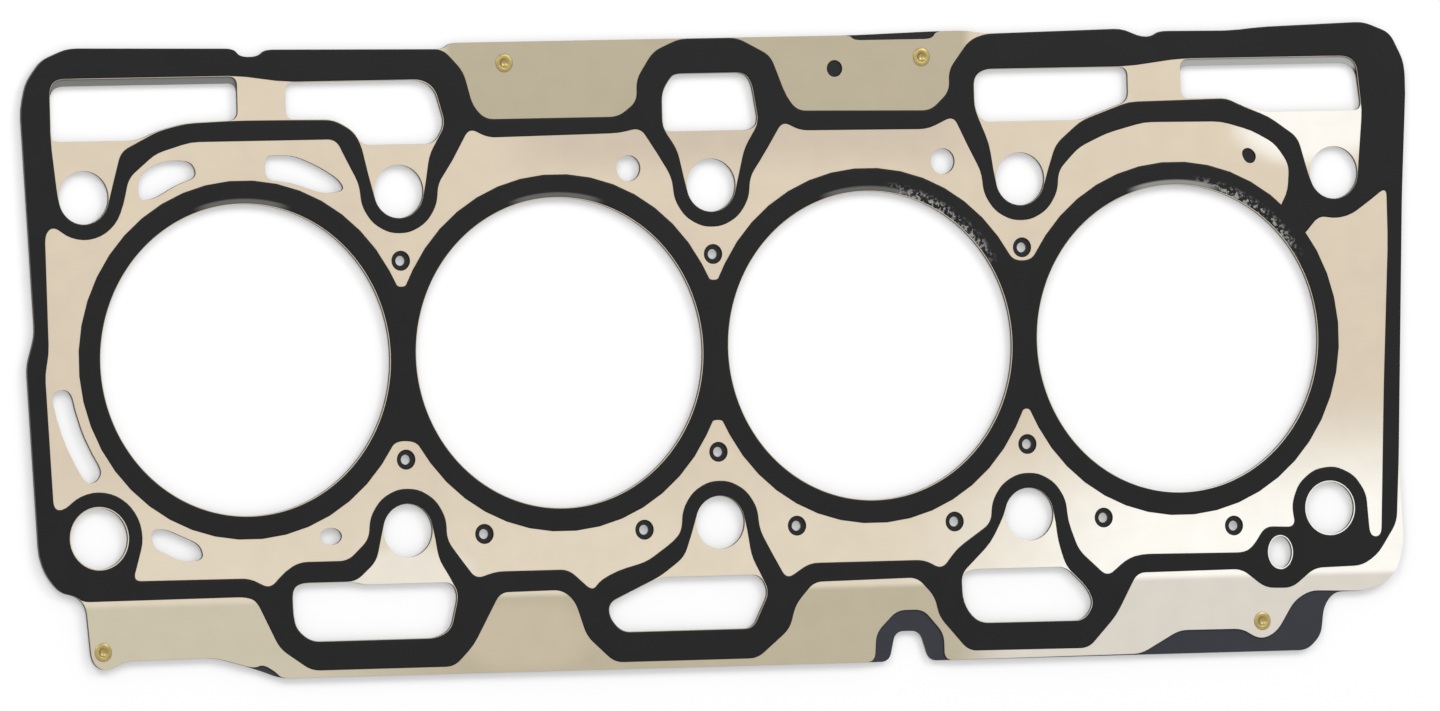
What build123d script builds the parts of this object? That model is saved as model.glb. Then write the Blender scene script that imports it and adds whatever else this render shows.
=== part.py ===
from build123d import *
from math import cos, degrees, radians, sin
import os

os.makedirs("parts", exist_ok=True)

# Driving dimensions in millimetres. X runs along the row of bores, Y across it, and Z = 0 is the face
# that lies on the engine block. The origin is the middle of the bolt pattern, between bores 2 and 3.
bore_diameter = 80.6
bore_web = 7.4
bore_row_offset = 1.2
bolt_hole_diameter = 13.8
dowel_hole_diameter = 15.8
lower_sheet_thickness = 0.6
upper_sheet_thickness = 0.4
ring_seal_thickness = 0.14
outer_seal_thickness = 0.12
ring_seal_width = 6.1
ring_seal_lip = 0.2
collar_clearance = 0.3
collar_width = 4.0
round_port_diameter = 6.8
vent_diameter = 5.2
vent_drill_diameter = 2.6
oil_port_length = 8.7
oil_port_width = 6.9
small_port_length = 4.6
small_port_width = 6.4
marker_hole_diameter = 4.4
slot_gap = 9.0
slot_width = 5.6
rivet_shank_diameter = 3.0
rivet_head_diameter = 4.8
rivet_head_height = 0.25
lower_window_step = 1.8
web_fill_width = 6.0

# How many flat sides the small round features get, in turn the drilled holes, the ports and rivet
# heads, the long port, the holes of the outer seal and the printed rings
drill_sides = 8
port_sides = 10
long_port_sides = 12
seal_hole_sides = 16
ring_sides = 44

bore_radius = bore_diameter / 2
pitch = bore_diameter + bore_web
bolt_row = pitch / 2
bolt_radius = bolt_hole_diameter / 2
dowel_radius = dowel_hole_diameter / 2
sheet_top = lower_sheet_thickness + upper_sheet_thickness
ring_inner_radius = bore_radius + ring_seal_lip
ring_outer_radius = ring_inner_radius + ring_seal_width

# The outlines below are drawn at this pitch, and at() spreads each point with the bolt columns and the
# bolt rows when the bore or the web between two bores is changed.
drawn_pitch = 88.0


def at(x, y):
    return (x * pitch / drawn_pitch, y * bolt_row / (drawn_pitch / 2))


def shape(*points):
    """A closed outline drawn through points at the drawn pitch."""
    return [at(x, y) for x, y in points]


def arc_points(centre, radius, start, stop, count):
    """Points evenly spaced on an arc, from one angle to another in degrees."""
    step = (stop - start) / (count - 1)
    angles = [radians(start + i * step) for i in range(count)]
    return [(centre[0] + radius * cos(a), centre[1] + radius * sin(a)) for a in angles]


def oval(centre, half_width, half_length, sides):
    """An upright oval drawn with a few flat sides."""
    round_outline = arc_points((0, 0), 1, 0, 360 - 360 / sides, sides)
    return [(centre[0] + half_width * x, centre[1] + half_length * y) for x, y in round_outline]


def plate(outline, bottom, thickness):
    """A flat plate of a given thickness whose underside lies at the height bottom."""
    face = make_face(Polyline(*outline, close=True))
    return extrude(Pos(0, 0, bottom) * face, amount=thickness, dir=(0, 0, 1))


def disc(centre, radius, bottom, thickness, sides=0):
    """A round plate, or one with a few flat sides where the piece is small or repeated."""
    flat = RegularPolygon(radius, sides) if sides else Circle(radius)
    return extrude(Pos(centre[0], centre[1], bottom) * flat, amount=thickness)


# Bore centres and bolt holes. The rows of bolts stand half a pitch to each side of the origin, the bores
# stand a little off the middle line, and so do the four holes at the ends off their columns. The larger
# one of those four takes a ring dowel round its bolt.
bores = [((i - 1.5) * pitch, bore_row_offset) for i in range(4)]
inner_bolts = [(column * pitch, side * bolt_row) for column in (-1, 0, 1) for side in (-1, 1)]
end_bolts = [at(-175.8, 44), at(178.3, 44), at(174.6, -44.4)]
dowel_bolt = at(-174, -44)

# Coolant and oil ports, the little steam vents of the webs and the bottom row, and the rivets
round_ports = [at(-23.3, 48.8), at(66.0, 49)]
small_port = at(-109.6, -45)
web_vents = [at(x, y) for x in (-88, 0, 88) for y in (26, -25.6)]
row_vents = [at(x, -45.4) for x in (-66.6, -21.5, 21.7, 66.6, 109.3)] + [at(146.7, -48.4)]
vents = web_vents + row_vents
marker_hole = at(35.9, 73.8)
oil_port = at(159.9, -55.7)
rivets = [at(-57.5, 76.8), at(60.7, 76.4), at(-173.8, -73.4), at(154.1, -73.7)]


def bore_slot(bore, start, stop):
    """A curved coolant slot that runs round a bore between two angles."""
    inner = bore_radius + slot_gap
    outer = inner + slot_width
    nose = degrees(slot_width / 4 / outer)
    outside = arc_points(bore, outer, start + nose, stop - nose, 4)
    inside = arc_points(bore, inner, stop - nose, start + nose, 4)
    middle = (inner + outer) / 2
    first = arc_points(bore, middle, start, stop, 2)
    return [first[0]] + outside + [first[1]] + inside


ports = [
    bore_slot(bores[0], 187, 216),
    shape((-160.6, 42.8), (-160.6, 48.8), (-157, 51.8), (-152, 53.3), (-145.5, 52.8), (-144, 48.8),
          (-150, 46.8), (-156, 43.4)),
    shape((-125.2, 47.8), (-125.2, 54.1), (-117, 53.8), (-110, 50.8), (-104.5, 47.3), (-103, 44.4),
          (-109, 43.8), (-118, 46.8)),
    shape((-160, -42.2), (-156, -41.8), (-146, -46.2), (-145, -50.2), (-151, -50.6), (-159, -46.8)),
]

# A port of the upper sheet alone, closed by the lower one
blind_port = shape((151.6, 50.2), (154, 51.2), (156.2, 49.2), (155.4, 46.8), (152.8, 47))

# Windows of the two long sides, which save weight. The second list is cut a little larger through the
# upper sheet, so that a strip of the lower sheet shows along the top edge.
plain_windows = [
    shape((-119, 63.2), (-119, 72.8), (-81, 72.8), (-77.2, 70.4), (-74.6, 61.2), (-77.6, 56.2), (-98, 56.2),
          (-100.2, 60), (-105.6, 63)),
    shape((-13.2, 59.4), (-13.2, 68.3), (-11, 71.8), (-9.5, 73.1), (10, 73.1), (12.1, 70.8), (13.8, 60.2),
          (11.8, 58.2), (-12.4, 58.2)),
    shape((75.6, 62.8), (75.6, 70.8), (78.4, 72.8), (119.6, 72.8), (119.6, 63.8), (112.7, 61.6), (106, 59.1),
          (77.6, 59.1)),
    shape((-118.4, -57), (-120.6, -58.6), (-120.6, -65.2), (-119.7, -68.9), (-115.8, -72), (-80.7, -72),
          (-76.7, -69.9), (-74.4, -61), (-76, -57.7), (-101, -57.7), (-103, -57)),
    shape((-32, -64.2), (-23, -60.2), (-17.2, -57.9), (11, -57.9), (13.2, -62.5), (8.4, -71.8),
          (-28.6, -71.8), (-32, -68)),
    shape((68.3, -59.2), (71, -58), (98, -58), (104.1, -63.8), (105.8, -68), (102.8, -72.1),
          (73.4, -72), (70.4, -69.8), (68.4, -65.9)),
]
left_window = [(-184.4, 59.4), (-184.4, 70.8), (-182.4, 72.8), (-132.4, 72.8), (-132.4, 63.3),
               (-146.8, 62.8), (-154.5, 61), (-160.5, 58.5), (-183.4, 58.5)]
right_window = [(134.8, 64.2), (134.8, 72.8), (183, 72.8), (185.6, 70.8), (186.8, 60.3), (158.5, 60.3),
                (151, 62.6), (148, 64.2)]


def stepped_window(points, step):
    """A window whose top edge, drawn at y = 70 or more, is moved up by a step."""
    return [at(x, y + step) if y >= 70 else at(x, y) for x, y in points]


# Outline of both sheets on the left, the top and the right, in turn
left_edge = shape((-185.2, -57.8), (-189, -53.2), (-190.8, -48.2), (-192.8, 0.8), (-190.3, 8.8),
                  (-192.6, 66.8), (-191, 73.8), (-186.6, 79.6), (-179.1, 82.6))
top_left_edge = shape((-133, 81.8), (-131.4, 79.6), (-126.2, 79.6), (-124.4, 81.4), (-74.6, 80.7),
                      (-72.6, 82.3), (40.6, 82.4))
top_right_edge = shape((65, 83.1), (74, 83.1), (79, 82.2), (118.4, 82.9), (123.5, 80.7), (127, 80.7),
                       (129, 82.1), (150, 81.9), (158, 82.7), (188, 83.6))
right_edge = shape((195.6, 80.6), (199.4, 73), (199.8, 66.8), (197.9, 37.8), (194.9, -31.2), (195.7, -53.7),
                   (193.8, -60.9), (189.2, -65), (183.5, -66.5))

# Where the two sheets differ: the upper one is cut back at the top, at the notch of the bottom edge
# and round the rivet lobe on the right, and the lower one shows past it.
upper_gap = shape((41.6, 81.1), (64, 81.1))
upper_lobe = shape((168.2, -66), (163.5, -68.6), (158.6, -76.2), (155.3, -78.1), (152.3, -78.1),
                   (148.4, -75.6), (130.2, -75.5), (119, -81.4))
upper_notch = shape((62.7, -81.6), (62.7, -74.7), (57, -68.2), (49.5, -68.2), (43.4, -74), (42.8, -81.6))
upper_left_foot = shape((-124.4, -81.4), (-126.2, -79.5), (-129.6, -77.6), (-131.9, -78.6), (-142.7, -75.6))
lower_tab = shape((175.3, -66.5), (172.2, -70.2), (171.2, -77.8), (167.1, -81.7))
lower_notch = shape((58.4, -81.6), (56, -73.7), (49, -73.7), (47.1, -81.6))
lower_left_foot = shape((-124.4, -81.4), (-131.9, -78.6), (-142.7, -75.6))
rivet_foot = shape((-167.3, -75.8), (-170.4, -77.3), (-174, -78.3), (-177, -75.8), (-178.2, -61.2),
                   (-181.1, -58.6))

both_start = left_edge + top_left_edge
upper_outline = both_start + upper_gap + top_right_edge + right_edge + upper_lobe + upper_notch
upper_outline += upper_left_foot + rivet_foot
lower_outline = both_start + top_right_edge + right_edge + lower_tab + lower_notch
lower_outline += lower_left_foot + rivet_foot


def sheet(outline, bottom, thickness, step, vent_size, vent_sides):
    """A steel sheet with all the holes that go through the gasket."""
    body = plate(outline, bottom, thickness)
    outlines = ports + plain_windows
    outlines += [stepped_window(left_window, step), stepped_window(right_window, step)]
    cuts = [plate(points, bottom, thickness) for points in outlines]
    cuts += [disc(centre, bore_radius, bottom, thickness) for centre in bores]
    cuts += [disc(centre, bolt_radius, bottom, thickness) for centre in inner_bolts + end_bolts]
    cuts.append(disc(dowel_bolt, dowel_radius, bottom, thickness))
    cuts += [disc(centre, round_port_diameter / 2, bottom, thickness, port_sides) for centre in round_ports]
    cuts += [disc(centre, vent_size / 2, bottom, thickness, vent_sides) for centre in vents]
    cuts += [disc(centre, rivet_shank_diameter / 2, bottom, thickness, drill_sides) for centre in rivets]
    long_port = oval(oil_port, oil_port_width / 2, oil_port_length / 2, long_port_sides)
    short_port = oval(small_port, small_port_width / 2, small_port_length / 2, port_sides)
    cuts += [plate(long_port, bottom, thickness), plate(short_port, bottom, thickness)]
    return body - cuts


def rivet(centre):
    """A brass rivet: a shank through both sheets and a low round head on the upper one."""
    shank = disc(centre, rivet_shank_diameter / 2, 0, sheet_top, drill_sides)
    head = disc(centre, rivet_head_diameter / 2, sheet_top, rivet_head_height, port_sides)
    return shank + head


# The notches between two rings are filled from the first y to the second one, web by web
web_fills = [
    (at(-88, -20.9), at(-88, 19.3)),
    (at(0, -17.3), at(0, 19.3)),
    (at(88, -16.3), at(88, 22.6)),
]


def ring_area(bottom, thickness):
    """Four discs that merge at the webs, with the two notches of each web filled in."""
    area = [disc(centre, ring_outer_radius, bottom, thickness, ring_sides) for centre in bores]
    for (x, low), (x, high) in web_fills:
        fill = Box(web_fill_width, high - low, thickness, align=(Align.CENTER, Align.MIN, Align.MIN))
        area.append(Pos(x, low, bottom) * fill)
    return area[0].fuse(*area[1:])


def bore_seal():
    """The printed seal of the bores, one ring round each."""
    cuts = [disc(centre, ring_inner_radius, sheet_top, ring_seal_thickness, ring_sides) for centre in bores]
    return ring_area(sheet_top, ring_seal_thickness) - cuts


collar_inside = bolt_radius + collar_clearance
collar_outside = collar_inside + collar_width
dowel_collar_inside = dowel_radius + collar_clearance
dowel_collar_outside = dowel_collar_inside + collar_width

# The field of bare sheet round the bores, inside the outer seal, clockwise from the left
field = shape((-186.8, 34.8), (-186.6, 3.8), (-187.8, -1.2), (-186.4, -36.2))
field += arc_points(dowel_bolt, dowel_collar_outside, 142, -28, 8)
field += shape((-165, -55.2), (-132.4, -55.3), (-127, -58.1), (-122.7, -53.7), (-118.6, -51.4),
               (-105, -51.4))
field += arc_points(inner_bolts[0], collar_outside, 190, -14, 8)
field += shape((-71.9, -53.7), (-69.2, -57), (-63.7, -55.2), (-43.2, -55.2), (-36.6, -61), (-34.5, -58.3),
               (-29.3, -55.8), (-21.1, -53.7), (-13.4, -48.6))
field += arc_points(inner_bolts[2], collar_outside, 190, -10, 8)
field += shape((13.7, -51.1), (18.4, -59.3), (25, -55.2), (57.8, -55.2), (62.6, -57.8), (67.1, -52.4),
               (72.2, -49.1))
field += arc_points(inner_bolts[4], collar_outside, 190, -10, 8)
field += shape((101.9, -53.7), (109.9, -60.9), (115.8, -56.3), (119.9, -55.2), (149.7, -55.5),
               (152.3, -53.7), (155.6, -48.8))
field += arc_points(end_bolts[2], collar_outside, 205, -12, 8)
field += shape((186, -52.2), (189.2, -52.2), (191.1, -12.2), (193.4, 25.8), (193.4, 39.8), (189.7, 37.3))
field += arc_points(end_bolts[1], collar_outside + 1, -48, -112, 4)
field += shape((169.6, 27.6), (162.4, 34.4), (164.8, 39.1), (165.4, 46.3), (161.5, 51.9), (154.8, 55.5),
               (146.1, 58), (124, 58.2), (113.2, 55.5), (105, 51.9))
field += arc_points(inner_bolts[5], collar_outside, 10, -190, 8)
field += shape((74.3, 50.8), (69.4, 60.8), (62, 57.5), (25.5, 57.8), (20.7, 60.3), (15.3, 51.9))
field += arc_points(inner_bolts[3], collar_outside, 10, -190, 8)
field += shape((-13.9, 50.8), (-19.6, 59.3), (-25.7, 58), (-62.7, 57.5), (-67.8, 60.1), (-73.9, 49.8))
field += arc_points(inner_bolts[1], collar_outside, 10, -190, 8)
field += shape((-102.2, 51.8), (-105.2, 57.8), (-145.7, 57.8), (-155.5, 55), (-163.2, 48.8))
field += arc_points(end_bolts[0], collar_outside, -10, -140, 6)

# The loops of bare sheet between the outer seal and the edges, one round each bolt hole or pair
loops = [
    shape((-184.55, 72.65), (-182.5, 74.75), (-132.3, 74.75), (-119.1, 72.95), (-80.65, 72.95),
          (-77.05, 70.5), (-74.45, 61.15), (-79.2, 53.4))
    + arc_points(inner_bolts[1], collar_inside, 0, -180, 7)
    + shape((-97, 50.8), (-98.1, 56.1), (-100.3, 59.85), (-105.7, 62.85), (-119, 63.05), (-132.4, 63.15),
            (-146.8, 62.65), (-154.6, 60.85), (-165.2, 55.7))
    + arc_points(end_bolts[0], collar_inside, 0, -180, 7) + shape((-184.55, 58.8)),
    shape((-13.35, 68.35), (-11.15, 71.9), (-9.55, 73.25), (10.05, 73.25), (12.25, 70.85), (13.95, 60.15),
          (9.6, 53.4))
    + arc_points(inner_bolts[3], collar_inside, 0, -180, 7) + shape((-9.3, 53.4), (-13.4, 59.35)),
    shape((75.45, 70.85), (78.35, 72.95), (119.7, 72.95), (134.65, 74.75), (183.05, 74.75),
          (185.75, 72.7), (186.95, 60.3))
    + arc_points(end_bolts[1], collar_inside, 10, -170, 7)
    + shape((168.2, 53.4), (159.9, 59.1), (151, 62.5), (148, 64.05), (119.7, 63.65), (105.9, 58.95),
            (98.4, 52.9))
    + arc_points(inner_bolts[5], collar_inside, 0, -180, 7) + shape((79.4, 53.4), (75.45, 62.7)),
    shape((-118.45, -56.85), (-120.75, -58.5), (-120.75, -65.2), (-119.85, -69), (-115.85, -72.15),
          (-80.65, -72.15), (-76.55, -70), (-74.25, -61), (-75.85, -57.6), (-79.6, -51.7))
    + arc_points(inner_bolts[0], collar_inside, 0, 180, 7) + shape((-97, -51.7), (-102.9, -56.85)),
    shape((-32.15, -64.1), (-32.15, -68.05), (-28.65, -71.95), (8.5, -71.95), (13.35, -62.5),
          (11.1, -57.8), (8.6, -53.2))
    + arc_points(inner_bolts[2], collar_inside, 0, 180, 7) + shape((-10.4, -52.7), (-17.3, -57.6)),
    shape((68.15, -59.1), (68.25, -65.95), (70.3, -69.9), (73.35, -72.15), (102.9, -72.25),
          (105.95, -68.05), (104.25, -63.75), (98.1, -57.9), (96, -51.2))
    + arc_points(inner_bolts[4], collar_inside, 0, 180, 7) + shape((76.8, -51.1), (72.7, -55)),
]

# The outer edge of the outer seal, which follows the sheet at the left, the top right and the right
seal_outline = left_edge + top_left_edge[:-2]
seal_outline += shape((-69, 74.8), (-66.6, 65.8), (-63.2, 62.3), (-25.7, 62.3), (-20.4, 66.2), (-20.4, 71.9),
                      (-15.5, 79.1), (-8, 82.3), (8.5, 82.3), (17.8, 77.5), (22, 66.7), (25, 63), (63, 62.4),
                      (68.4, 67.3), (68.4, 72.9), (74.5, 80.6))
seal_outline += top_right_edge[2:] + right_edge[:5]
seal_outline += shape((193.8, -48.6), (188.2, -56.8), (183.5, -59.8), (169.7, -60.1), (163, -65.2),
                      (155.3, -65), (148.6, -59.9), (118.5, -60.1), (112.2, -71.1), (104, -79.5),
                      (69.6, -79.3), (61.4, -70.1), (60.4, -65), (55.5, -59.8), (26.1, -60.2),
                      (20.7, -66), (18.9, -72.2), (9.5, -79.7), (-30.9, -79.7), (-38.6, -72.7),
                      (-41.6, -63.5), (-45.2, -60.5), (-62.6, -60.7), (-70.4, -74.2), (-76, -79.6),
                      (-116, -79.6), (-124.7, -73.7), (-130.9, -61.1), (-134, -60.1), (-179.1, -60.3),
                      (-181.1, -58.6))


def outer_seal():
    """The printed bead that runs round the bolts, the coolant field and the edges."""
    body = plate(seal_outline, sheet_top, outer_seal_thickness)
    half_width = oil_port_width / 2 + collar_clearance
    half_length = oil_port_length / 2 + collar_clearance
    port_collar = oval(oil_port, half_width, half_length, long_port_sides)
    cuts = [plate(points, sheet_top, outer_seal_thickness) for points in [field, port_collar] + loops]
    cuts += [disc(centre, radius, sheet_top, outer_seal_thickness, seal_hole_sides)
             for centre, radius in ((dowel_bolt, dowel_collar_inside), (end_bolts[2], collar_inside))]
    cuts.append(ring_area(sheet_top, outer_seal_thickness))
    return body - cuts


lower_layer = sheet(lower_outline, 0, lower_sheet_thickness, 0, vent_drill_diameter, drill_sides)
upper_layer = sheet(upper_outline, lower_sheet_thickness, upper_sheet_thickness, lower_window_step,
                    vent_diameter, port_sides)
upper_layer -= disc(marker_hole, marker_hole_diameter / 2, lower_sheet_thickness, upper_sheet_thickness,
                    port_sides)
upper_layer -= plate(blind_port, lower_sheet_thickness, upper_sheet_thickness)

pieces = {
    "lower_layer": lower_layer,
    "upper_layer": upper_layer,
    "bore_seal": bore_seal(),
    "outer_seal": outer_seal(),
}
for i, centre in enumerate(rivets):
    pieces[f"rivet_{i + 1}"] = rivet(centre)

for name, piece in pieces.items():
    export_step(piece, f"parts/{name}.step")
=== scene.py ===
"""Dresses the packed model of a laminated steel cylinder head gasket and lays it out for a photograph.

Each sheet, printed seal and rivet of the packed model is rebuilt with rounded outlines, eased edges and its
own finish. Lengths in the mesh code and places in the finishes are millimetres, and a mesh is scaled to
metres when it is done.
"""

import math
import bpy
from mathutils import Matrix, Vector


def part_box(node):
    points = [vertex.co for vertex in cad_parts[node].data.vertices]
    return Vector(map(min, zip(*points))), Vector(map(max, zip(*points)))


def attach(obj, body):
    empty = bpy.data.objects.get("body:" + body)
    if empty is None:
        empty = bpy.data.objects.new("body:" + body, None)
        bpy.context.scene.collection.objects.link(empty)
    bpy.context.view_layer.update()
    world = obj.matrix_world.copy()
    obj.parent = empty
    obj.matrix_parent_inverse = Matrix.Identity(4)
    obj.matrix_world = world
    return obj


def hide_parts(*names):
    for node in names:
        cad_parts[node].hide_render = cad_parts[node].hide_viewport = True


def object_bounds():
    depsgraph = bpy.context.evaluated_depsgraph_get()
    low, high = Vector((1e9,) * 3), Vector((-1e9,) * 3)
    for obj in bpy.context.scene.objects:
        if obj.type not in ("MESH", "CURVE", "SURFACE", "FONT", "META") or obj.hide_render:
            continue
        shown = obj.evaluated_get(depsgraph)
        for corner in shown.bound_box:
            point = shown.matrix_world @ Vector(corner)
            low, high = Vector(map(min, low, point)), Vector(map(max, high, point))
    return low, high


bl_info = {
    "name": "Cylinder head gasket",
    "version": (1, 0, 0),
    "blender": (4, 5, 0),
    "location": "3D View > Sidebar > Gasket",
    "description": "Builds the sheets, printed seals and rivets of a head gasket and its photo stage",
    "category": "Add Mesh",
}

import bmesh
import bpy
from mathutils import Euler, Vector

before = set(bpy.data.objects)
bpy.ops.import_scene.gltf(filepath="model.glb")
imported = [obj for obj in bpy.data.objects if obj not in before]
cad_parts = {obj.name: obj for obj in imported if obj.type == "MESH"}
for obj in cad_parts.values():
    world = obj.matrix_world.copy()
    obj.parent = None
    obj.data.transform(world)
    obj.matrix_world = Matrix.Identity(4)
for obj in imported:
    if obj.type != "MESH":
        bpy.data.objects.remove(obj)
cad_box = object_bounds()

MM = 0.001
PER_METRE = 1000
BODY = "root"

# The row of four bores in the packed model
PITCH = 88.0
BORE_RADIUS = 40.3
BORE_ROW = 1.2
BORE_CENTRES = [((i - 1.5) * PITCH, BORE_ROW) for i in range(4)]

# What counts as one point in the packed mesh, in metres, and as one height or place in an outline
SAME_POINT = 1e-6
SAME_HEIGHT = 1e-3
SAME_PLACE = 1e-3
# A vector shorter than this has no direction.
NO_LENGTH = 1e-6
# An outline of at least so many points, whose radii differ by less than this share, is a circle.
CIRCLE_POINTS = 8
CIRCLE_SLACK = 0.01
# The fewest sides that a circle is drawn with
CIRCLE_SIDES = 24
# A point of an outline that is no farther than this from the one before is left out. So short a side
# could fold over when the outline is rounded and inset.
SHORT_SIDE = 0.6
# A rounded corner gets a side for each such turn, or part of one.
CORNER_TURN = math.radians(9)
# An inset corner moves by at most the inset divided by this, however sharp it is.
LEAST_LEAN = 0.5
# A point of the outer seal that is within this band of a ring's rim lies on it, and is moved in under
# the ring by the overlap.
RIM_BAND = 0.25
RIM_OVERLAP = 1.6

# The middle of an eased edge, as a share of the ease
EASE_MIDDLE = 0.3
# A printed bead rises steeply over the width of its foot, and its slope bends at a share of its shoulder.
# Both rises are shares of its height.
BEAD_FOOT = 0.02
BEAD_FOOT_RISE = 0.45
BEAD_BEND = 0.3
BEAD_BEND_RISE = 0.82
# A rivet's shank as a share of its head's radius, and the lip under the head's edge
SHANK_SHARE = 0.6
HEAD_LIP = 0.03
# The rolled edge of a rivet's head: shares of its radius, and of its rise above the sheet
HEAD_ROLL = ((1.0, 0.3), (0.93, 0.75), (0.75, 1.0))
# The wall of its dimple: what is added to the dimple's radius, and shares of the rise below the head's
# top, as is the depth
DIMPLE_WALL = ((0.35, 0.0), (0.1, 0.35), (0.0, 2.2))
DIMPLE_DEPTH = 2.4
RIVET_SIDES = 40

# A Mix node has sockets for each kind of data. These are the factor's and the ones that carry colours.
MIX_FACTOR = 0
MIX_FIRST = 6
MIX_SECOND = 7
MIX_RESULT = 2

# The floor's paper, the strength of its white and the share of that white in what the camera sees
WHITE = (1.0, 1.0, 1.0, 1.0)
PAPER = (0.97, 0.97, 0.97, 1.0)
FLOOR_WHITE = 1.03
FLOOR_GLOW = 0.28
# The lamps' diameter and place in metres. Both aim at the frame's origin.
LAMP_SIZE = 0.5
LAMP_ACROSS = 0.55
LAMP_BACK = 0.6
LAMP_UP = 0.75
# The width of the camera's sensor in millimetres, and how far the camera sees in metres
SENSOR_WIDTH = 36.0
CLIP_END = 100.0


# Mesh work: outlines are read from the flat faces of a packed node and rounded.


def flat_outlines(node, height):
    """The closed outlines of a node's flat face at a height, as lists of points in millimetres."""
    mesh = bmesh.new()
    mesh.from_mesh(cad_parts[node].data)
    bmesh.ops.remove_doubles(mesh, verts=mesh.verts, dist=SAME_POINT)
    level = [f for f in mesh.faces if all(abs(v.co.z / MM - height) < SAME_HEIGHT for v in f.verts)]
    inside = set(level)
    follow = {}
    for face in level:
        for loop in face.loops:
            if sum(f in inside for f in loop.edge.link_faces) == 1:
                follow.setdefault(loop.vert, []).append(loop.link_loop_next.vert)
    outlines = []
    while follow:
        vert = next(iter(follow))
        points = []
        while vert in follow:
            points.append((vert.co.x / MM, vert.co.y / MM))
            ways = follow[vert]
            following = ways.pop()
            if not ways:
                del follow[vert]
            vert = following
        outlines.append(points)
    mesh.free()
    return outlines


def circle_of(points):
    """The centre and radius of an outline if it is a circle drawn with flat sides, or None."""
    count = len(points)
    cx = sum(x for x, y in points) / count
    cy = sum(y for x, y in points) / count
    radii = [math.hypot(x - cx, y - cy) for x, y in points]
    if count >= CIRCLE_POINTS and max(radii) - min(radii) < CIRCLE_SLACK * max(radii):
        return cx, cy, sum(radii) / count
    return None


def turns_left(points):
    """Whether an outline runs anticlockwise, as the outer one of a face seen from above does."""
    ahead = points[1:] + points[:1]
    return sum(ax * by - bx * ay for (ax, ay), (bx, by) in zip(points, ahead)) > 0


def round_outline(centre_x, centre_y, radius, count):
    """The points of a circle, anticlockwise."""
    turn = 2 * math.pi / count
    angles = [i * turn for i in range(count)]
    return [(centre_x + radius * math.cos(a), centre_y + radius * math.sin(a)) for a in angles]


def apart(one, other):
    """The distance between two points."""
    return (Vector(one) - Vector(other)).length


def with_neighbours(points):
    """The points of a closed outline as vectors, each between the one before it and the one after it."""
    vectors = [Vector(point) for point in points]
    return zip(vectors[-1:] + vectors[:-1], vectors, vectors[1:] + vectors[:1])


def softened(points, corner):
    """An outline with each corner rounded, by at most the length corner along its two sides."""
    kept = [point for i, point in enumerate(points) if apart(point, points[i - 1]) > SHORT_SIDE]
    result = []
    for before, here, after in with_neighbours(kept):
        back, ahead = before - here, after - here
        reach_back = min(corner, back.length / 2) / back.length
        reach_ahead = min(corner, ahead.length / 2) / ahead.length
        first = here + back * reach_back
        last = here + ahead * reach_ahead
        turn = math.pi - back.angle(ahead)
        steps = max(1, math.ceil(turn / CORNER_TURN))
        for k in range(steps + 1):
            t = k / steps
            point = first * (1 - t) ** 2 + here * 2 * t * (1 - t) + last * t ** 2
            if not result or apart(result[-1], point) > SAME_PLACE:
                result.append(point[:])
    if apart(result[0], result[-1]) < SAME_PLACE:
        result.pop()
    return result


def refined(points, corner, circle_step):
    """A circle gets more sides, and any other outline gets round corners."""
    circle = circle_of(points)
    if not circle:
        return softened(points, corner)
    sides = max(CIRCLE_SIDES, round(2 * math.pi * circle[2] / circle_step))
    outline = round_outline(*circle, sides)
    return outline if turns_left(points) else outline[::-1]


def inset(points, distance):
    """An outline moved towards the material, which lies to the left of its direction."""
    result = []
    for before, here, after in with_neighbours(points):
        into = (here - before).normalized()
        out = (after - here).normalized()
        left = Vector((-into.y, into.x))
        middle = Vector((-into.y - out.y, into.x + out.x))
        normal = (left if middle.length < NO_LENGTH else middle).normalized()
        lean = max(LEAST_LEAN, normal.dot(left))
        result.append((here + normal * (distance / lean))[:])
    return result


def tucked(points, radius):
    """An outline whose points on a ring's rim are moved in under the ring, so that the prints meet."""
    result = []
    for point in points:
        for centre in BORE_CENTRES:
            away = Vector(point) - Vector(centre)
            if abs(away.length - radius) < RIM_BAND:
                point = (Vector(centre) + away * ((radius - RIM_OVERLAP) / radius))[:]
        result.append(point)
    return result


def link_mesh(name, mesh):
    """An object of the scene made from a mesh."""
    data = bpy.data.meshes.new(name)
    mesh.to_mesh(data)
    mesh.free()
    piece = bpy.data.objects.new(name, data)
    bpy.context.scene.collection.objects.link(piece)
    return piece


def finish_piece(name, mesh, rounded):
    """A piece whose faces look outwards and whose rounded faces are shaded smooth, scaled to metres."""
    bmesh.ops.recalc_face_normals(mesh, faces=mesh.faces)
    for face in rounded:
        face.smooth = True
    bmesh.ops.scale(mesh, vec=(MM, MM, MM), verts=mesh.verts)
    return link_mesh(name, mesh)


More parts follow.
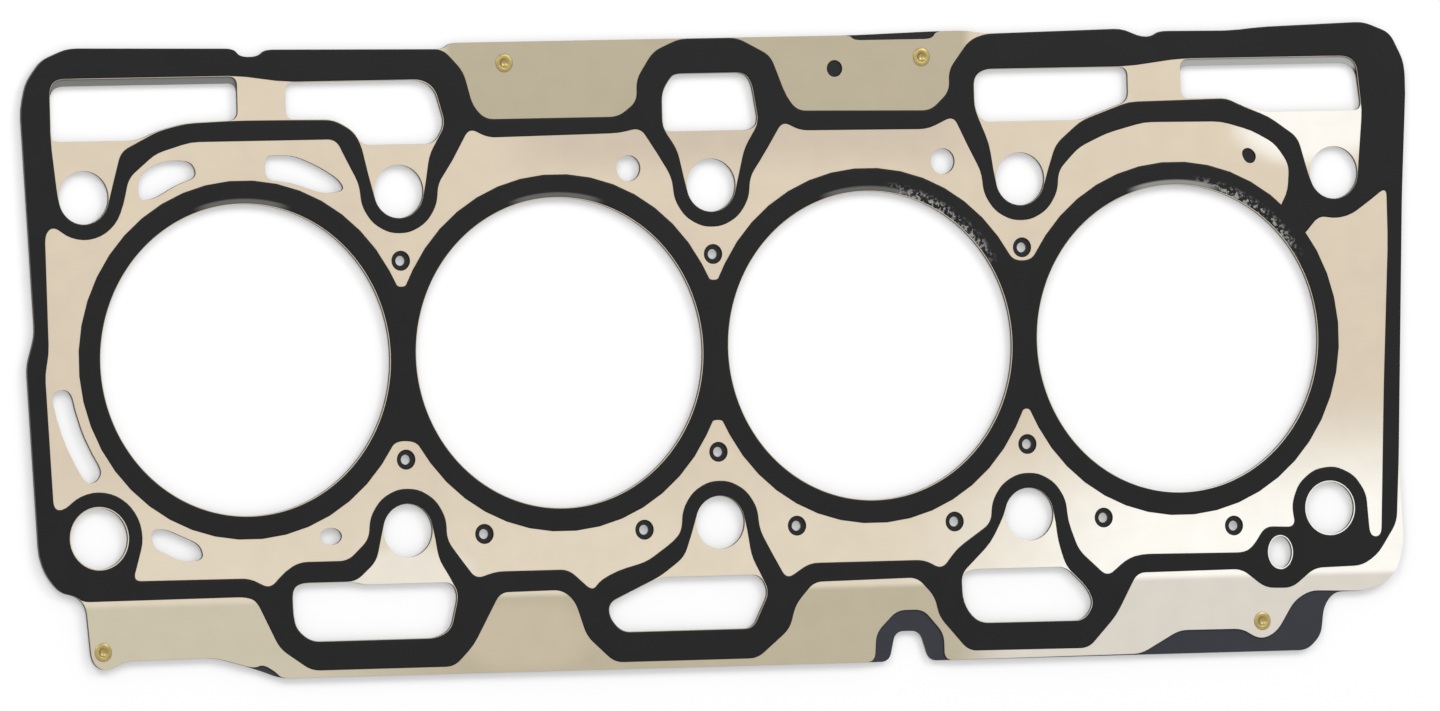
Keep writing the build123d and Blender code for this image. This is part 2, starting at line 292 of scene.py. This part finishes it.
def build_plate(name, outlines, profile):
    """A closed plate. The profile lists pairs of inset and height, from the bottom face to the top one."""
    mesh = bmesh.new()
    bottom_edges, top_edges = [], []
    for points in outlines:
        count = len(points)
        rings = []
        for distance, height in profile:
            moved = inset(points, distance) if distance else points
            rings.append([mesh.verts.new((x, y, height)) for x, y in moved])
        for low, high in zip(rings, rings[1:]):
            for i in range(count):
                k = (i + 1) % count
                mesh.faces.new((low[i], low[k], high[k], high[i]))
        for ring, edges in ((rings[0], bottom_edges), (rings[-1], top_edges)):
            for i in range(count):
                edges.append(mesh.edges.get((ring[i], ring[(i + 1) % count])))
    walls = list(mesh.faces)
    for edges, direction in ((bottom_edges, -1), (top_edges, 1)):
        filled = bmesh.ops.triangle_fill(mesh, edges=edges, use_beauty=True, normal=(0, 0, direction))
        if not any(isinstance(part, bmesh.types.BMFace) for part in filled["geom"]):
            raise RuntimeError(f"{name} has a face that can't be filled")
    return finish_piece(name, mesh, walls)


def build_turned(name, centre, profile, sides):
    """A turned piece. The profile lists pairs of radius and height, and begins and ends on the axis."""
    mesh = bmesh.new()
    rings = []
    for radius, height in profile:
        places = round_outline(*centre, radius, sides) if radius else [centre]
        rings.append([mesh.verts.new((x, y, height)) for x, y in places])
    for low, high in zip(rings, rings[1:]):
        for i in range(sides):
            k = (i + 1) % sides
            corners = [low[i % len(low)], low[k % len(low)], high[k % len(high)], high[i % len(high)]]
            mesh.faces.new(list(dict.fromkeys(corners)))
    return finish_piece(name, mesh, list(mesh.faces))


def heights(node):
    """The lowest and highest z of a node in millimetres."""
    low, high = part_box(node)
    return low.z / MM, high.z / MM


def plate_profile(bottom, top, ease):
    """The section of a punched sheet, with both edges eased."""
    middle = EASE_MIDDLE * ease
    return [(ease, bottom), (middle, bottom + middle), (0, bottom + ease),
            (0, top - ease), (middle, top - middle), (ease, top)]


def seal_profile(bottom, top, shoulder):
    """The section of a printed bead, which rises from thin edges to a flat crown."""
    height = top - bottom
    return [(0, bottom), (BEAD_FOOT, bottom + BEAD_FOOT_RISE * height),
            (BEAD_BEND * shoulder, bottom + BEAD_BEND_RISE * height), (shoulder, top)]


def rivet_profile(bottom, sheet_top, top, head, dimple):
    """The section of a rivet: a shank through the sheets, and a head with a rolled edge and a dimple."""
    shank = SHANK_SHARE * head
    rise = top - sheet_top
    profile = [(0, bottom), (shank, bottom), (shank, sheet_top), (head - HEAD_LIP, sheet_top)]
    profile += [(reach * head, sheet_top + lift * rise) for reach, lift in HEAD_ROLL]
    profile += [(dimple + wider, top - drop * rise) for wider, drop in DIMPLE_WALL]
    return profile + [(0, top - DIMPLE_DEPTH * rise)]


def stand_in(piece, node, material):
    """Puts a dressed piece in the place of a packed node."""
    piece.data.materials.append(material)
    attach(piece, BODY)
    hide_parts(node)


# Finishes: numbers that vary over a surface are written as expressions.


class Signal:
    """A socket that carries a number, with the arithmetic that adds its Math nodes."""

    def __init__(self, finish, socket):
        self.finish = finish
        self.socket = socket

    def math(self, operation, *values):
        """The result of a Math node on some numbers and signals."""
        inputs = dict(enumerate(values))
        return self.finish.node("ShaderNodeMath", {"operation": operation}, inputs).out()

    def __add__(self, other):
        return self.math("ADD", self, other)

    def __sub__(self, other):
        return self.math("SUBTRACT", self, other)

    def __rsub__(self, other):
        return self.math("SUBTRACT", other, self)

    def __mul__(self, other):
        return self.math("MULTIPLY", self, other)

    def __truediv__(self, other):
        return self.math("DIVIDE", self, other)

    def __mod__(self, other):
        return self.math("FLOORED_MODULO", self, other)

    def __abs__(self):
        return self.math("ABSOLUTE", self)

    def __pow__(self, other):
        return self.math("POWER", self, other)

    __radd__ = __add__
    __rmul__ = __mul__

    def highest(self, other):
        """The larger of two numbers."""
        return self.math("MAXIMUM", self, other)

    def step(self, start, end):
        """Rises smoothly from 0 at start to 1 at end, or falls where end is the smaller."""
        inputs = {"Value": self, "From Min": start, "From Max": end}
        settings = {"interpolation_type": "SMOOTHSTEP"}
        return self.finish.node("ShaderNodeMapRange", settings, inputs).out("Result")


class Node:
    """A shader node whose outputs are taken by name or by number."""

    def __init__(self, finish, node):
        self.finish = finish
        self.node = node

    def out(self, name=0):
        return Signal(self.finish, self.node.outputs[name])


class Finish:
    """A material that is built node by node round one Principled BSDF."""

    def __init__(self, name):
        self.material = bpy.data.materials.new(name)
        self.material.use_nodes = True
        self.tree = self.material.node_tree
        self.tree.nodes.clear()
        self.shader = self.node("ShaderNodeBsdfPrincipled").node
        self.output = self.node("ShaderNodeOutputMaterial").node
        self.tree.links.new(self.shader.outputs[0], self.output.inputs["Surface"])

    def node(self, kind, settings=None, inputs=None):
        """A new node. Its settings are set first, and then the values or links of its sockets."""
        node = self.tree.nodes.new(kind)
        for key, value in (settings or {}).items():
            setattr(node, key, value)
        for key, value in (inputs or {}).items():
            self.feed(node.inputs[key], value)
        return Node(self, node)

    def feed(self, socket, value):
        """Links a socket to a signal, or sets its value."""
        if isinstance(value, Signal):
            self.tree.links.new(value.socket, socket)
        else:
            socket.default_value = value

    def spot(self):
        """The place on the surface, as a vector in metres."""
        return self.node("ShaderNodeTexCoord").out("Object")

    def plan(self, spot):
        """The x and y of a place, in millimetres."""
        parts = self.node("ShaderNodeSeparateXYZ", inputs={0: spot})
        return parts.out("X") * PER_METRE, parts.out("Y") * PER_METRE

    def noise(self, spot, size, detail=3.0, rough=0.55):
        """Cloudy noise whose features are about size millimetres across."""
        inputs = {"Vector": spot, "Scale": PER_METRE / size, "Detail": detail, "Roughness": rough}
        return self.node("ShaderNodeTexNoise", inputs=inputs).out("Fac")

    def streaks(self, spot, length, width, detail=3.0):
        """Noise drawn out along X, such as the grain of rolled sheet."""
        inputs = {"Vector": spot, "Scale": (PER_METRE / length, PER_METRE / width, 1.0)}
        grain = self.node("ShaderNodeMapping", {"vector_type": "POINT"}, inputs).out()
        inputs = {"Vector": grain, "Scale": 1.0, "Detail": detail}
        return self.node("ShaderNodeTexNoise", inputs=inputs).out("Fac")

    def steepness(self, flat=0.9, steep=0.5):
        """0 on the faces of a sheet, where the normal's z is above flat, and 1 on its walls."""
        normal = self.node("ShaderNodeNewGeometry").out("True Normal")
        upright = self.node("ShaderNodeSeparateXYZ", inputs={0: normal}).out("Z")
        return abs(upright).step(flat, steep)

    def blend(self, factor, first, second):
        """The first colour where the factor is 0 and the second where it is 1."""
        inputs = {MIX_FACTOR: factor, MIX_FIRST: rgba(first), MIX_SECOND: rgba(second)}
        return self.node("ShaderNodeMix", {"data_type": "RGBA"}, inputs).out(MIX_RESULT)

    def shade(self, colour, factor):
        """A colour made lighter or darker by a number."""
        grey = self.node("ShaderNodeCombineXYZ", inputs={0: factor, 1: factor, 2: factor}).out()
        return self.node("ShaderNodeVectorMath", {"operation": "MULTIPLY"}, {0: colour, 1: grey}).out()

    def bump(self, height, depth, strength):
        """A normal that follows a height, of which 1 stands depth millimetres high."""
        inputs = {"Height": height, "Distance": depth * MM, "Strength": strength}
        return self.node("ShaderNodeBump", inputs=inputs).out()

    def surface(self, **inputs):
        """The material, with its shader's sockets fed. Their names have underscores for spaces."""
        for key, value in inputs.items():
            self.feed(self.shader.inputs[key.replace("_", " ")], value)
        return self.material


def rgba(colour):
    """A colour socket's value, or the signal that was given."""
    return colour if isinstance(colour, Signal) else (*colour, 1.0)


def linear(red, green, blue):
    """A colour as a screen shows it, from 0 to 255, taken through the sRGB curve for the shader."""
    def one(value):
        value /= 255
        return value / 12.92 if value <= 0.04045 else ((value + 0.055) / 1.055) ** 2.4
    return (one(red), one(green), one(blue))


def bore_place(x, y):
    """The distance in millimetres to the nearest bore's centre, and x and y measured from that centre."""
    across = (x + 2 * PITCH) % PITCH - PITCH / 2
    up = y - BORE_ROW
    distance = (across * across + up * up) ** 0.5
    return distance, across, up


def patch(x, y, centre, reach, core=0.25):
    """A soft oval patch: 1 in its core, and 0 where x or y is more than its reach away."""
    across = (x - centre[0]) / reach[0]
    up = (y - centre[1]) / reach[1]
    return (across * across + up * up).step(1.0, core)


def champagne_coating(colours):
    """The coating of the upper sheet: pale in the field, duller on the flanges, with dark punched edges.
    Painted highlights lie at the lower right, in two glare patches and in a pale rim of the flanges along
    the outer seal.
    """
    finish = Finish("champagne_coating")
    spot = finish.spot()
    x, y = finish.plan(spot)
    clouds = finish.noise(spot, 45, 2.0)
    mottle = finish.noise(spot, 7, 4.0)
    grain = finish.streaks(spot, 9, 0.35)

    below_bores = y.step(-20, -52) * 0.8
    # The lower right of the field is painted near white, a highlight where the coat looks blown out.
    lower_right_highlight = (x - y * 0.5).step(70, 150) * y.step(-10, -50)
    # Two glare patches paint a highlight where the coat looks blown out by the light.
    upper_right_glare = patch(x, y, (172, 57), (26, 13))
    lower_left_glare = patch(x, y, (-88, -55), (22, 8)) * 0.5
    upper_middle = y.step(44, 56) * abs(x - 10).step(74, 50) * 0.85
    field = finish.blend((clouds - 0.3) * 1.6, colours.field_warm, colours.field_pale)
    field = finish.blend(below_bores, field, colours.field_low)
    field = finish.blend(lower_right_highlight, field, colours.field_highlight)
    field = finish.blend(upper_right_glare.highest(lower_left_glare), field, colours.glare)
    field = finish.blend(upper_middle, field, colours.field_top)

    low = y.step(-40, -50)
    top = y.step(50, 60) * 0.9
    browned = patch(x, y, (-56, -72), (24, 11))
    flange = finish.blend(low * x.step(-70, -120), colours.flange, colours.flange_left)
    flange = finish.blend(top, flange, colours.flange_top)
    flange = finish.blend(low * x.step(64, 82), flange, colours.flange_right)
    flange = finish.blend(browned, flange, colours.flange_brown)

    # The soft step from the field to the flanges paints a pale highlight rim along the outer seal, where
    # the bead's slope catches the light. On two stretches of the top edge the field's colour runs on
    # outside the outer seal.
    outside = abs(y).step(60.8, 62.6)
    stretches = y.step(50, 52) * abs(abs(x) - 126).step(54, 50)
    coat = finish.blend(outside * (1 - stretches), field, flange)
    coat = finish.shade(coat, 0.93 + mottle * 0.09 + grain * 0.05)
    edge = finish.steepness()
    return finish.surface(
        Base_Color=finish.blend(edge, coat, colours.punched_edge),
        Metallic=0.3 + edge * 0.3,
        Roughness=0.46 + (mottle - 0.5) * 0.16 + (grain - 0.5) * 0.1,
        Normal=finish.bump(grain * 0.5 + mottle * 0.5, depth=0.02, strength=0.35),
    )


def slate_coating(colours):
    """The lower sheet's dark coating, blue-grey at the tabs, with a painted shadow in grey along the window
    strips.
    """
    finish = Finish("slate_coating")
    spot = finish.spot()
    x, y = finish.plan(spot)
    clouds = finish.noise(spot, 14, 3.0)
    grain = finish.streaks(spot, 7, 0.3)

    above_tabs = y.step(-64, -62)
    # Under the windows' top edges a grey strip paints the shadow seen there, fainter on the left.
    strips = abs(y - 73.4).step(3.0, 1.2) * abs(abs(x) - 160).step(29, 26)
    painted_shadow = strips * (0.45 + x.step(-10, 10) * 0.55)
    coat = finish.blend(clouds, colours.slate, colours.slate_light)
    coat = finish.blend(above_tabs, coat, colours.vent_black)
    coat = finish.shade(coat, 0.9 + grain * 0.2)
    coat = finish.blend(finish.steepness(), coat, colours.punched_edge)
    return finish.surface(
        Base_Color=finish.blend(painted_shadow, coat, colours.steel_and_shade_grey),
        Metallic=0.15 + painted_shadow * 0.4,
        Roughness=0.5 + (clouds - 0.5) * 0.2,
        Specular_IOR_Level=0.3,
        Normal=finish.bump(grain + clouds, depth=0.02, strength=0.3),
    )


def printed_rubber(colours):
    """The printed bead: satin black, finely pebbled, worn to the steel at some rings' inner edges, and
    painted grey at the top of the openings as shadow.
    """
    finish = Finish("printed_rubber")
    spot = finish.spot()
    x, y = finish.plan(spot)
    pebble = finish.noise(spot, 0.6, 2.0)
    clouds = finish.noise(spot, 12, 3.0)
    speckle = finish.noise(spot, 1.3, 2.0, 0.7).step(0.49, 0.6)

    # Seen from a bore's centre, the worn corner lies up and to the right, and a painted shadow in grey lies
    # on the lip straight up.
    distance, across, up = bore_place(x, y)
    corner = ((across * 0.545 + up * 0.839) / distance).step(0.88, 0.97)
    near_opening = distance.step(BORE_RADIUS + 3.2, BORE_RADIUS + 1.0)
    wear = near_opening * corner * speckle * x.step(-2, 2)
    at_opening = distance.step(BORE_RADIUS + 1.7, BORE_RADIUS + 1.1)
    lip = at_opening * (up / distance).step(0.94, 0.98) * (0.35 + x.step(80, 90) * 0.5)
    wear_and_shade = wear.highest(lip)
    black = finish.blend(clouds, colours.bead_black, colours.bead_grey)
    return finish.surface(
        Base_Color=finish.blend(wear_and_shade * 0.8, black, colours.steel_and_shade_grey),
        Metallic=wear_and_shade * 0.4,
        Roughness=0.52 + (clouds - 0.5) * 0.18 - wear_and_shade * 0.1,
        Specular_IOR_Level=0.22,
        Normal=finish.bump(pebble + clouds, depth=0.03, strength=0.35),
    )


def rivet_brass(colours):
    """Brass with patches of darker tarnish."""
    finish = Finish("rivet_brass")
    tarnish = finish.noise(finish.spot(), 1.6, 3.0)
    return finish.surface(
        Base_Color=finish.blend(tarnish, colours.brass, colours.brass_dark),
        Metallic=0.85,
        Roughness=0.32 + tarnish * 0.2,
        Normal=finish.bump(tarnish, depth=0.03, strength=0.4),
    )


def white_floor():
    """A white floor that keeps the gasket's shadow and shows white to the camera and in reflections."""
    finish = Finish("white_floor")
    material = finish.surface(Base_Color=PAPER, Roughness=0.9, Specular_IOR_Level=0.1)
    inputs = {"Color": WHITE, "Strength": FLOOR_WHITE}
    glow = finish.node("ShaderNodeEmission", inputs=inputs).out()
    path = finish.node("ShaderNodeLightPath")
    seen = path.out("Is Camera Ray").highest(path.out("Is Glossy Ray"))
    paper = Signal(finish, finish.shader.outputs[0])
    inputs = {0: seen * FLOOR_GLOW, 1: paper, 2: glow}
    finish.feed(finish.output.inputs["Surface"], finish.node("ShaderNodeMixShader", inputs=inputs).out())
    return material


# The settings a user would change


def colour_property(label, about, red, green, blue):
    """A colour, given as a screen shows it."""
    default = linear(red, green, blue)
    return bpy.props.FloatVectorProperty(
        name=label, description=about, default=default, subtype="COLOR", size=3, min=0.0, max=1.0)


def length_property(label, about, millimetres):
    """A length, given in millimetres."""
    return bpy.props.FloatProperty(
        name=label, description=about, default=millimetres * MM, min=0.0, unit="LENGTH", precision=5)


class GasketColours(bpy.types.PropertyGroup):
    """Colours of the gasket's coatings, print and metal"""

    field_warm: colour_property("Warm field", "Upper sheet round the bores", 214, 199, 177)
    field_pale: colour_property("Pale field", "Upper sheet where the coat is thin", 220, 206, 182)
    field_top: colour_property("Top field", "Upper sheet between the upper middle bolts", 200, 186, 166)
    field_low: colour_property("Low field", "Upper sheet below the bores", 227, 215, 193)
    # Painted highlight at the lower right of the field
    field_highlight: colour_property("Highlight field", "Painted highlight on the upper sheet at the lower right", 255, 252, 244)
    # Painted highlight for the glare patches
    glare: colour_property("Glare", "Painted highlight patches of the upper sheet", 247, 243, 234)
    flange: colour_property("Flange", "Dull coat outside the outer seal", 190, 179, 154)
    flange_top: colour_property("Top flange", "Coat of the two upper flanges", 180, 169, 144)
    flange_left: colour_property("Left flange", "Coat of the lower left flange", 204, 195, 171)
    flange_right: colour_property("Right flange", "Paler coat of the lower right flanges", 220, 213, 202)
    flange_brown: colour_property("Brown flange", "Heat-browned patch of the bottom flange", 201, 187, 162)
    slate: colour_property("Slate", "Coating of the lower sheet", 44, 46, 53)
    slate_light: colour_property("Light slate", "Rubbed parts of the lower sheet", 52, 55, 62)
    vent_black: colour_property("Vent black", "Lower sheet in the steam vents", 28, 28, 28)
    punched_edge: colour_property("Punched edge", "Cut walls of the sheets", 88, 84, 78)
    # Both the steel of worn print and the painted shadow along the window strips and bore lips
    steel_and_shade_grey: colour_property("Steel and shade grey", "Steel where print wears off, and painted shadow at window strips and bore lips", 168, 168, 166)
    bead_black: colour_property("Bead black", "Printed rubber", 17, 18, 18)
    bead_grey: colour_property("Bead grey", "Dusty parts of the printed rubber", 24, 25, 24)
    brass: colour_property("Brass", "Rivet heads", 214, 194, 132)
    brass_dark: colour_property("Dark brass", "Tarnished parts of the rivets", 158, 138, 82)


class GasketShape(bpy.types.PropertyGroup):
    """How far the pieces' corners and edges are rounded"""

    sheet_corner: length_property("Sheet corner", "Longest rounding along a sheet's corner", 2.4)
    seal_corner: length_property("Seal corner", "Longest rounding along the outer seal's corner", 2.4)
    ring_corner: length_property("Ring corner", "Longest rounding along a ring seal's corner", 3.2)
    sheet_ease: length_property("Sheet edge", "Rounding of the punched edges", 0.07)
    seal_shoulder: length_property("Seal shoulder", "Width of a printed bead's sloping edge", 0.5)
    circle_step: length_property("Circle step", "Length of the sides that draw a round hole", 0.9)
    rivet_dimple: length_property("Rivet dimple", "Radius of the dimple in a rivet head", 1.1)


class GasketStage(bpy.types.PropertyGroup):
    """Camera, floor and lamps"""

    lens: bpy.props.FloatProperty(
        name="Lens", description="Focal length in millimetres on a 36 mm sensor", default=600.0, min=1.0)
    distance: bpy.props.FloatProperty(
        name="Distance", description="From the camera to the gasket", default=6.2589, unit="LENGTH")
    tip: bpy.props.FloatProperty(
        name="Tip", description="Camera turn about X", default=math.radians(1.19), subtype="ANGLE")
    lean: bpy.props.FloatProperty(
        name="Lean", description="Camera turn about Y", default=math.radians(-22.95), subtype="ANGLE")
    roll: bpy.props.FloatProperty(
        name="Roll", description="Camera turn about Z", default=math.radians(-1.7), subtype="ANGLE")
    aim: bpy.props.FloatVectorProperty(
        name="Aim", description="Point in the middle of the picture", default=(0.00117, -0.0005, 0.001),
        subtype="TRANSLATION", unit="LENGTH")
    floor_size: bpy.props.FloatProperty(
        name="Floor size", description="Side of the square floor", default=6.0, unit="LENGTH")
    floor_gap: length_property(
        "Floor gap", "From the floor to the underside, as a new gasket isn't quite flat", 1.0)
    sky: bpy.props.FloatProperty(
        name="Sky", description="Strength of the even light", default=0.72, min=0.0)
    lamp_power: bpy.props.FloatProperty(
        name="Lamp power", description="Power of each soft lamp", default=3.2, unit="POWER")


GROUPS = {"gasket_colours": GasketColours, "gasket_shape": GasketShape, "gasket_stage": GasketStage}


class GASKET_OT_sheets(bpy.types.Operator):
    """Build the lower and upper steel sheets with rounded outlines and eased edges"""

    bl_idname = "gasket.sheets"
    bl_label = "Steel sheets"
    bl_options = {"REGISTER", "UNDO"}

    def execute(self, context):
        shape = context.scene.gasket_shape
        colours = context.scene.gasket_colours
        jobs = (("lower_sheet", "lower_layer", "lower_coating", slate_coating(colours)),
                ("upper_sheet", "upper_layer", "upper_coating", champagne_coating(colours)))
        for name, node, slot, material in jobs:
            low, high = heights(node)
            outlines = flat_outlines(node, high)
            rounded = [refined(o, shape.sheet_corner / MM, shape.circle_step / MM) for o in outlines]
            piece = build_plate(name, rounded, plate_profile(low, high, shape.sheet_ease / MM))
            stand_in(piece, node, material)
        return {"FINISHED"}


class GASKET_OT_seals(bpy.types.Operator):
    """Build the printed ring seals and the outer seal as low crowned beads"""

    bl_idname = "gasket.seals"
    bl_label = "Printed seals"
    bl_options = {"REGISTER", "UNDO"}

    def execute(self, context):
        shape = context.scene.gasket_shape
        material = printed_rubber(context.scene.gasket_colours)
        ring_low, ring_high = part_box("bore_seal")
        rim = (ring_high.y - ring_low.y) / 2 / MM
        jobs = (("ring_seal", "bore_seal", shape.ring_corner),
                ("edge_seal", "outer_seal", shape.seal_corner))
        for name, node, corner in jobs:
            low, high = heights(node)
            outlines = flat_outlines(node, high)
            if node == "outer_seal":
                outlines = [tucked(o, rim) for o in outlines]
            rounded = [refined(o, corner / MM, shape.circle_step / MM) for o in outlines]
            piece = build_plate(name, rounded, seal_profile(low, high, shape.seal_shoulder / MM))
            stand_in(piece, node, material)
        return {"FINISHED"}


class GASKET_OT_rivets(bpy.types.Operator):
    """Build the brass rivets with a rolled head and a dimple"""

    bl_idname = "gasket.rivets"
    bl_label = "Rivets"
    bl_options = {"REGISTER", "UNDO"}

    def execute(self, context):
        nodes = sorted(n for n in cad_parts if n.startswith("rivet_"))
        if not nodes:
            raise RuntimeError("The packed model has no rivets")
        dimple = context.scene.gasket_shape.rivet_dimple / MM
        material = rivet_brass(context.scene.gasket_colours)
        sheet_top = heights("upper_layer")[1]
        for node in nodes:
            low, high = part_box(node)
            centre = ((low.x + high.x) / 2 / MM, (low.y + high.y) / 2 / MM)
            head = (high.x - low.x) / 2 / MM
            profile = rivet_profile(low.z / MM, sheet_top, high.z / MM, head, dimple)
            piece = build_turned(f"{node}_turned", centre, profile, RIVET_SIDES)
            stand_in(piece, node, material)
        return {"FINISHED"}


class GASKET_OT_stage(bpy.types.Operator):
    """Lay the gasket on a white floor under soft light and set up the camera"""

    bl_idname = "gasket.stage"
    bl_label = "Photo stage"
    bl_options = {"REGISTER", "UNDO"}

    def execute(self, context):
        stage = context.scene.gasket_stage
        self.floor(stage)
        self.light(context, stage)
        self.camera(context, stage)
        return {"FINISHED"}

    def floor(self, stage):
        mesh = bmesh.new()
        bmesh.ops.create_grid(mesh, x_segments=1, y_segments=1, size=stage.floor_size / 2)
        floor = link_mesh("floor", mesh)
        floor.location.z = cad_box[0][2] - stage.floor_gap
        floor.data.materials.append(white_floor())

    def light(self, context, stage):
        world = bpy.data.worlds.new("soft_sky")
        world.use_nodes = True
        sky = world.node_tree.nodes["Background"]
        sky.inputs["Color"].default_value = WHITE
        sky.inputs["Strength"].default_value = stage.sky
        context.scene.world = world
        for name, side in (("soft_lamp_left", -1), ("soft_lamp_right", 1)):
            data = bpy.data.lights.new(name, "AREA")
            data.shape = "DISK"
            data.size = LAMP_SIZE
            data.energy = stage.lamp_power
            lamp = bpy.data.objects.new(name, data)
            lamp.location = (side * LAMP_ACROSS, LAMP_BACK, LAMP_UP)
            lamp.rotation_euler = (-lamp.location).to_track_quat("-Z", "Y").to_euler()
            context.scene.collection.objects.link(lamp)

    def camera(self, context, stage):
        data = bpy.data.cameras.new("camera")
        data.lens = stage.lens
        data.sensor_width = SENSOR_WIDTH
        data.clip_end = CLIP_END
        camera = bpy.data.objects.new("camera", data)
        turn = Euler((stage.tip, stage.lean, stage.roll), "XYZ")
        camera.rotation_euler = turn
        camera.location = Vector(stage.aim) + turn.to_matrix() @ Vector((0, 0, stage.distance))
        context.scene.collection.objects.link(camera)
        context.scene.camera = camera
        context.scene.view_settings.view_transform = "Standard"


OPERATORS = (GASKET_OT_sheets, GASKET_OT_seals, GASKET_OT_rivets, GASKET_OT_stage)


class GASKET_PT_panel(bpy.types.Panel):
    """Sidebar panel with the gasket's steps and settings"""

    bl_idname = "GASKET_PT_panel"
    bl_label = "Cylinder head gasket"
    bl_space_type = "VIEW_3D"
    bl_region_type = "UI"
    bl_category = "Gasket"

    def draw(self, context):
        layout = self.layout
        for operator in OPERATORS:
            layout.operator(operator.bl_idname)
        for name, group in GROUPS.items():
            box = layout.box()
            box.label(text=group.__doc__)
            for setting in group.__annotations__:
                box.prop(getattr(context.scene, name), setting)


def register():
    for group in GROUPS.values():
        bpy.utils.register_class(group)
    for operator in OPERATORS:
        bpy.utils.register_class(operator)
    bpy.utils.register_class(GASKET_PT_panel)
    for name, group in GROUPS.items():
        setattr(bpy.types.Scene, name, bpy.props.PointerProperty(type=group))


def unregister():
    for name in GROUPS:
        delattr(bpy.types.Scene, name)
    bpy.utils.unregister_class(GASKET_PT_panel)
    for operator in reversed(OPERATORS):
        bpy.utils.unregister_class(operator)
    for group in GROUPS.values():
        bpy.utils.unregister_class(group)


def main():
    register()
    bpy.ops.gasket.sheets()
    bpy.ops.gasket.seals()
    bpy.ops.gasket.rivets()
    bpy.ops.gasket.stage()


if __name__ == "__main__":
    main()
